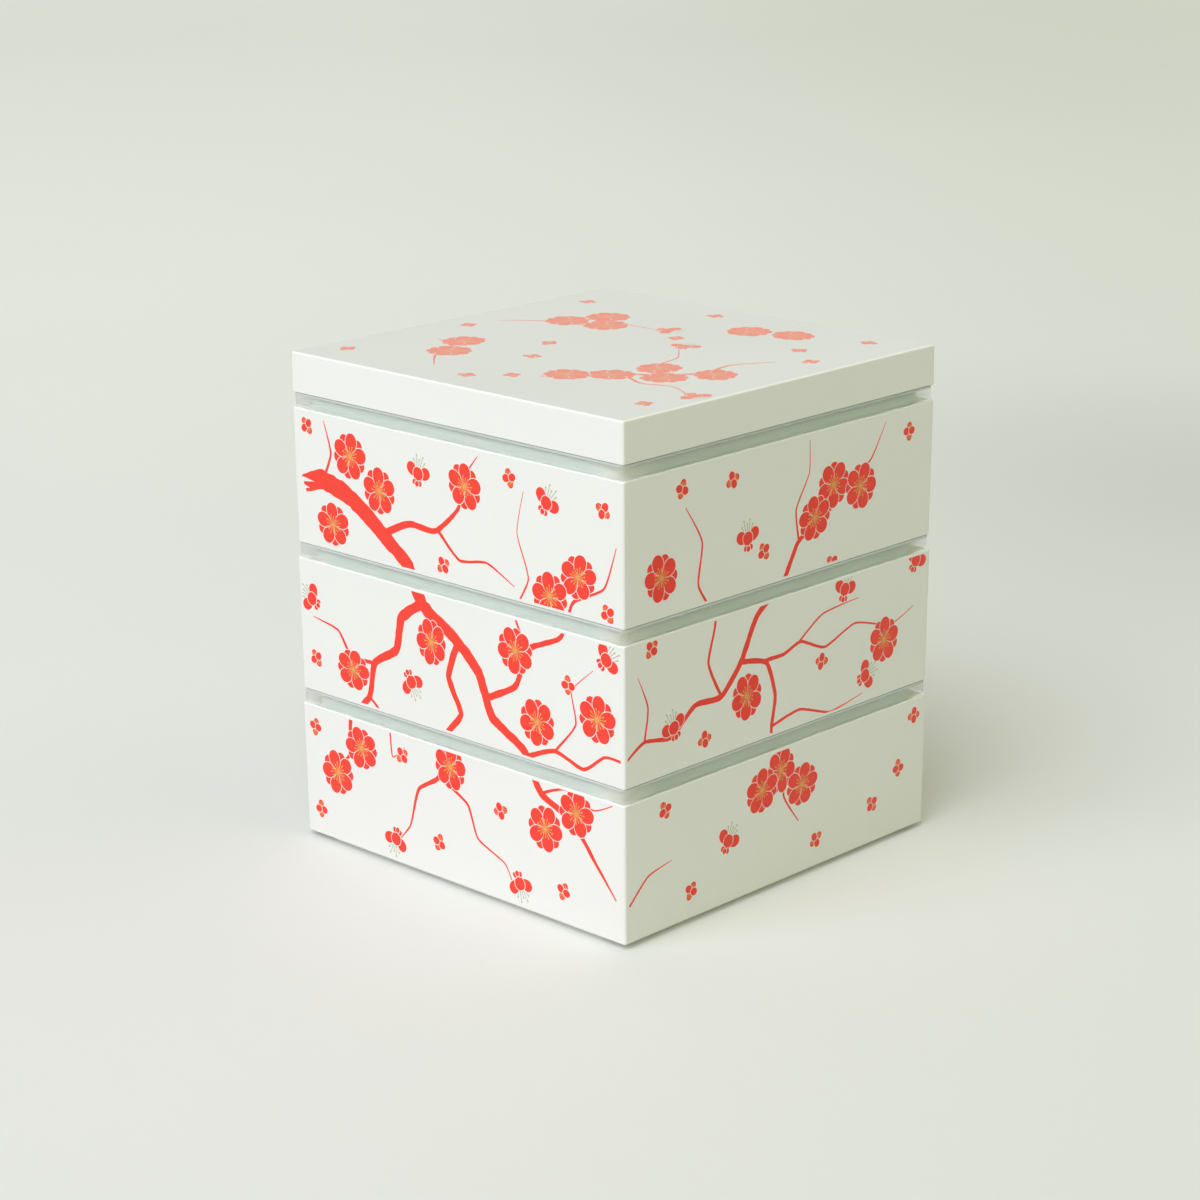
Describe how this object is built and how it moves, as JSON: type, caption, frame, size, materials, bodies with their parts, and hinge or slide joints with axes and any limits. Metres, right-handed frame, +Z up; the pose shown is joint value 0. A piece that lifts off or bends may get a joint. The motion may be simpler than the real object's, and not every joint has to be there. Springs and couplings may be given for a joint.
{
  "type": "stacking food box",
  "caption": "Square tiered lunch box: equal drafted tiers stacked on translucent seal lids, with a flat outer lid on top.",
  "frame": {"origin": "centre of the base, on the plane of the bottom tier's foot", "axes": "+Z up through the stack, +X and +Y square to the flat sides"},
  "size_m": [0.195, 0.195, 0.2199],
  "materials": {
    "white_lacquer": "satin white lacquer coat on moulded ABS",
    "frosted_polyethylene": "soft frosted translucent polyethylene",
    "vermilion_ink": "vermilion screen print under the lacquer's clear coat",
    "gold_ink": "fine gold screen print for stamens and pollen"
  },
  "bodies": {
    "tier_bottom": {"tier_bottom": "white_lacquer"},
    "seal_lid_bottom": {"seal_lid_bottom": "frosted_polyethylene"},
    "tier_middle": {"tier_middle": "white_lacquer"},
    "seal_lid_middle": {"seal_lid_middle": "frosted_polyethylene"},
    "tier_top": {"tier_top": "white_lacquer"},
    "seal_lid_top": {"seal_lid_top": "frosted_polyethylene"},
    "outer_lid": {"outer_lid": "white_lacquer"}
  },
  "joints": [
    {"name": "bottom_seal_lift", "type": "slide", "parent": "tier_bottom", "child": "seal_lid_bottom", "axis": [0, 0, 1], "range_m": [0, 0.05]},
    {"name": "middle_tier_lift", "type": "slide", "parent": "seal_lid_bottom", "child": "tier_middle", "axis": [0, 0, 1], "range_m": [0, 0.09]},
    {"name": "middle_seal_lift", "type": "slide", "parent": "tier_middle", "child": "seal_lid_middle", "axis": [0, 0, 1], "range_m": [0, 0.05]},
    {"name": "top_tier_lift", "type": "slide", "parent": "seal_lid_middle", "child": "tier_top", "axis": [0, 0, 1], "range_m": [0, 0.09]},
    {"name": "top_seal_lift", "type": "slide", "parent": "tier_top", "child": "seal_lid_top", "axis": [0, 0, 1], "range_m": [0, 0.05]},
    {"name": "outer_lid_lift", "type": "slide", "parent": "seal_lid_top", "child": "outer_lid", "axis": [0, 0, 1], "range_m": [0, 0.09]}
  ]
}
